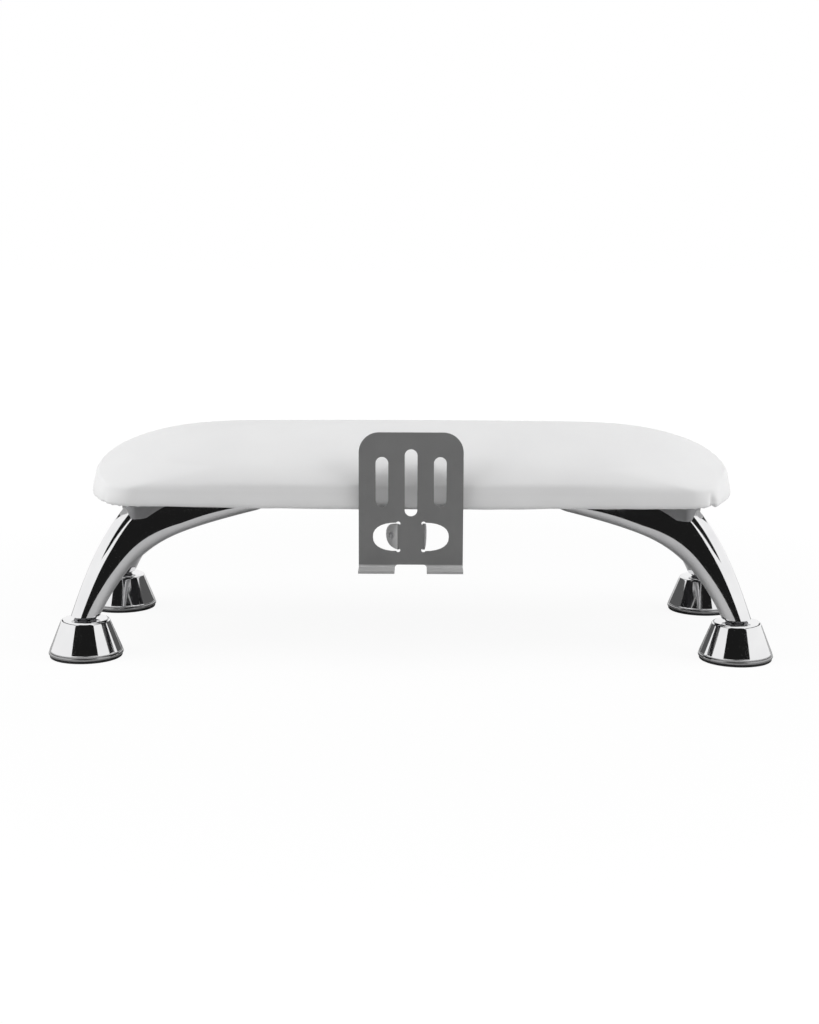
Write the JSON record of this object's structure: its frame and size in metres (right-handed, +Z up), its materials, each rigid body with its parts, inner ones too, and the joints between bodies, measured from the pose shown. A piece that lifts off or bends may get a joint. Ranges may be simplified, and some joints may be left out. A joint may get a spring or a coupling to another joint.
{
  "type": "manicure hand rest",
  "caption": "Padded hand rest with a crowned leatherette cushion on curved chrome legs with levelling cup feet, and a tilting sheet-metal phone plate hinged at its front edge.",
  "frame": {"origin": "centre of the bounding box, on the table top under the feet", "axes": "+Z up, +X along the cushion to the right of someone who faces the phone plate, -Y towards the phone plate side"},
  "size_m": [0.4378, 0.1768, 0.1381],
  "materials": {
    "board": "plain sawn board",
    "foam": "open-cell upholstery foam",
    "leatherette": "smooth white leatherette, semi-matt",
    "dust_cloth": "black non-woven cloth",
    "zinc_steel": "zinc-plated",
    "leg_chrome": "polished chrome plate",
    "cup_chrome": "polished chrome plate",
    "nylon": "black nylon",
    "rubber": "black non-slip rubber",
    "stud_steel": "dark zinc-plated",
    "plate_paint": "satin mid grey",
    "bracket_steel": "satin mid grey",
    "pin_steel": "bright steel",
    "insert_brass": "plain"
  },
  "bodies": {
    "frame": {"board": "board", "foam": "foam", "cover": "leatherette", "dust_cover": "dust_cloth", "staples": "zinc_steel", "leg_front_left": "leg_chrome", "leg_front_right": "leg_chrome", "leg_back_left": "leg_chrome", "leg_back_right": "leg_chrome", "leg_screws": "zinc_steel", "leg_washers": "zinc_steel", "holder_bracket": "bracket_steel", "hinge_pin": "pin_steel", "hinge_washers": "nylon", "bracket_screws": "zinc_steel", "bracket_inserts": "insert_brass"},
    "phone_plate": {"phone_plate": "plate_paint"},
    "foot_front_left": {"foot_cup_front_left": "cup_chrome", "foot_core_front_left": "nylon", "foot_pad_front_left": "rubber"},
    "stud_front_left": {"foot_stud_front_left": "stud_steel"},
    "foot_front_right": {"foot_cup_front_right": "cup_chrome", "foot_core_front_right": "nylon", "foot_pad_front_right": "rubber"},
    "stud_front_right": {"foot_stud_front_right": "stud_steel"},
    "foot_back_left": {"foot_cup_back_left": "cup_chrome", "foot_core_back_left": "nylon", "foot_pad_back_left": "rubber"},
    "stud_back_left": {"foot_stud_back_left": "stud_steel"},
    "foot_back_right": {"foot_cup_back_right": "cup_chrome", "foot_core_back_right": "nylon", "foot_pad_back_right": "rubber"},
    "stud_back_right": {"foot_stud_back_right": "stud_steel"}
  },
  "joints": [
    {"name": "phone_plate_tilt", "type": "hinge", "parent": "frame", "child": "phone_plate", "pos_m": [0, -0.07005, 0.0757], "axis": [1, 0, 0], "range_deg": [0, 75]},
    {"name": "foot_front_left_level", "type": "slide", "parent": "frame", "child": "foot_front_left", "axis": [0, 0, -1], "range_m": [0, 0.004]},
    {"name": "stud_front_left_turn", "type": "hinge", "parent": "foot_front_left", "child": "stud_front_left", "pos_m": [-0.1965, -0.066, 0.0239], "axis": [0, 0, -1], "range_deg": [0, 1441]},
    {"name": "foot_front_right_level", "type": "slide", "parent": "frame", "child": "foot_front_right", "axis": [0, 0, -1], "range_m": [0, 0.004]},
    {"name": "stud_front_right_turn", "type": "hinge", "parent": "foot_front_right", "child": "stud_front_right", "pos_m": [0.1965, -0.066, 0.0239], "axis": [0, 0, -1], "range_deg": [0, 1441]},
    {"name": "foot_back_left_level", "type": "slide", "parent": "frame", "child": "foot_back_left", "axis": [0, 0, -1], "range_m": [0, 0.004]},
    {"name": "stud_back_left_turn", "type": "hinge", "parent": "foot_back_left", "child": "stud_back_left", "pos_m": [-0.1965, 0.066, 0.0239], "axis": [0, 0, -1], "range_deg": [0, 1441]},
    {"name": "foot_back_right_level", "type": "slide", "parent": "frame", "child": "foot_back_right", "axis": [0, 0, -1], "range_m": [0, 0.004]},
    {"name": "stud_back_right_turn", "type": "hinge", "parent": "foot_back_right", "child": "stud_back_right", "pos_m": [0.1965, 0.066, 0.0239], "axis": [0, 0, -1], "range_deg": [0, 1441]}
  ],
  "couplings": [
    {"joint": "stud_front_left_turn", "follows": "foot_front_left_level", "rad_per_m": 6283.2},
    {"joint": "stud_front_right_turn", "follows": "foot_front_right_level", "rad_per_m": 6283.2},
    {"joint": "stud_back_left_turn", "follows": "foot_back_left_level", "rad_per_m": 6283.2},
    {"joint": "stud_back_right_turn", "follows": "foot_back_right_level", "rad_per_m": 6283.2}
  ]
}
